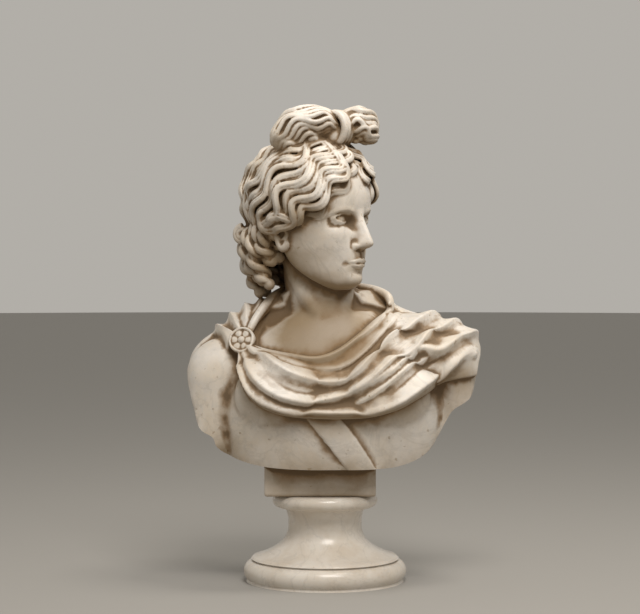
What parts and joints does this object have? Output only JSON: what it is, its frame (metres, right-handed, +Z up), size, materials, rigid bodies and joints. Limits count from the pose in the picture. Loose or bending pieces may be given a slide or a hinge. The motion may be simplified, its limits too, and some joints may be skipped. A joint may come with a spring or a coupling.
{
  "type": "marble bust",
  "caption": "Carved marble bust of a curly-haired youth in a cloak pinned at one shoulder, on a turned round socle",
  "frame": {"origin": "centre of the socle's flat underside, on the socle's turning axis", "axes": "+Z up along the socle's turning axis; the chest faces -Y; +X is the figure's left, the side to which the head is turned"},
  "size_m": [0.4803, 0.266, 0.7784],
  "materials": {
    "aged_marble": "carved and rubbed white marble, warm with age, brown in the hollows",
    "polished_marble": "turned white marble, polished, faintly veined"
  },
  "bodies": {
    "root": {"bust": "aged_marble", "socle": "polished_marble"}
  },
  "joints": []
}
